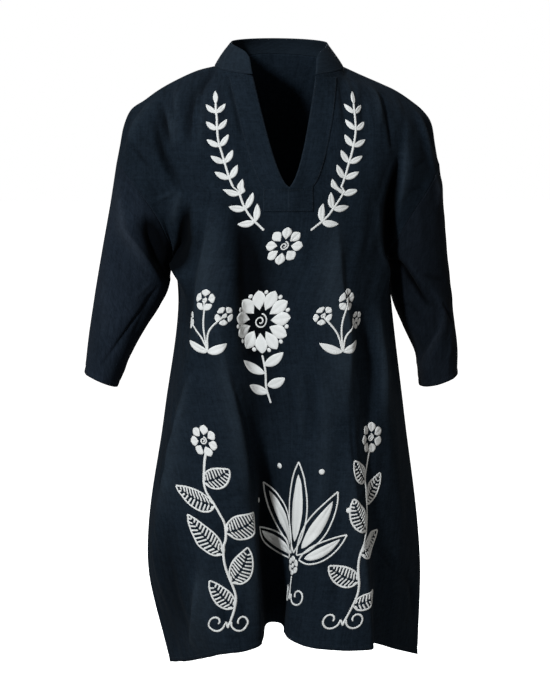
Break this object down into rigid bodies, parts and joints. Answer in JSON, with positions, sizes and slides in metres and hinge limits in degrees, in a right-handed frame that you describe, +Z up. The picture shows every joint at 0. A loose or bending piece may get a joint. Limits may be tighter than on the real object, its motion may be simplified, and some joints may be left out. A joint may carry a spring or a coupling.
{
  "type": "kaftan tunic",
  "caption": "Worn-form cotton kaftan tunic with a split stand collar, deep V neck, dropped shoulders, three-quarter sleeves and a flared hem.",
  "frame": {"origin": "middle of the neck seam, level with its two side points, where the wearer's neck carries the garment", "axes": "+Z up, the front faces -Y, +X to the right as seen from the front, which is the wearer's left"},
  "size_m": [0.5617, 0.2927, 0.9395],
  "materials": {
    "navy_cotton": "matt plain-weave cotton with a slight slub",
    "white_thread": "satin-stitch embroidery thread with a soft sheen",
    "navy_thread": "sewing thread"
  },
  "bodies": {
    "root": {"front": "navy_cotton", "back": "navy_cotton", "sleeve_left": "navy_cotton", "sleeve_right": "navy_cotton", "collar": "navy_cotton", "placket": "navy_cotton"}
  },
  "joints": []
}
